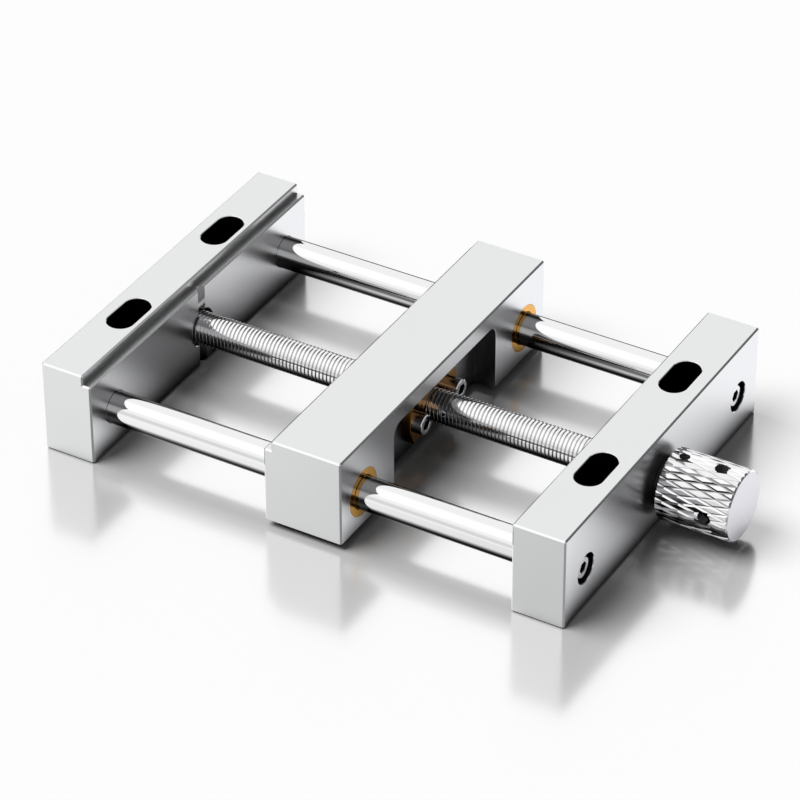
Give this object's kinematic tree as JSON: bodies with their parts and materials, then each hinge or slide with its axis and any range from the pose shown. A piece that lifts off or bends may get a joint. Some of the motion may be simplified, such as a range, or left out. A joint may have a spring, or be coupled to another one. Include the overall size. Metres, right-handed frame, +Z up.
{
  "type": "flat screw vise",
  "caption": "Flat bolt-down screw vise: a knurled knob and screw slide a middle jaw along guide rods towards a stepped fixed jaw.",
  "frame": {"origin": "centre of the vise's footprint, in the plane of the table that it stands on", "axes": "+X along the screw from the fixed jaw to the knob, +Y across the jaws, +Z up"},
  "size_m": [0.1564, 0.095, 0.024],
  "materials": {
    "block_aluminium": "fine bead-blasted aluminium, satin",
    "rod_chrome": "hard chrome, polished",
    "screw_steel": "bright rolled thread",
    "fastener_steel": "bright nickel-plated steel",
    "set_screw_steel": "blackened steel",
    "nut_brass": "turned brass",
    "bush_bronze": "turned bronze",
    "knob_aluminium": "bright knurled aluminium with a fine satin end",
    "washer_acetal": "black acetal, matte"
  },
  "bodies": {
    "frame": {"fixed_jaw": "block_aluminium", "end_block": "block_aluminium", "guide_rod_near": "rod_chrome", "guide_rod_far": "rod_chrome", "rod_screw_rear_near": "fastener_steel", "rod_screw_rear_far": "fastener_steel", "rod_screw_front_near": "fastener_steel", "rod_screw_front_far": "fastener_steel", "tail_bush": "bush_bronze", "front_bush": "bush_bronze", "thrust_washer_inner": "washer_acetal", "thrust_washer_outer": "washer_acetal"},
    "screw": {"lead_screw": "screw_steel", "knob": "knob_aluminium", "knob_screw_top_back": "set_screw_steel", "knob_screw_top_front": "set_screw_steel", "knob_screw_side_front": "set_screw_steel"},
    "jaw": {"movable_jaw": "block_aluminium", "lead_nut": "nut_brass", "nut_screw_near": "fastener_steel", "nut_screw_far": "fastener_steel", "guide_bush_rear_near": "bush_bronze", "guide_bush_rear_far": "bush_bronze", "guide_bush_front_near": "bush_bronze", "guide_bush_front_far": "bush_bronze"}
  },
  "joints": [
    {"name": "screw_turn", "type": "hinge", "parent": "frame", "child": "screw", "pos_m": [0, 0, 0.0103], "axis": [1, 0, 0], "range_deg": [-15588, 16704]},
    {"name": "jaw_slide", "type": "slide", "parent": "frame", "child": "jaw", "axis": [1, 0, 0], "range_m": [-0.0464, 0.0433]}
  ],
  "couplings": [
    {"joint": "jaw_slide", "follows": "screw_turn", "m_per_rad": -0.00015915}
  ]
}
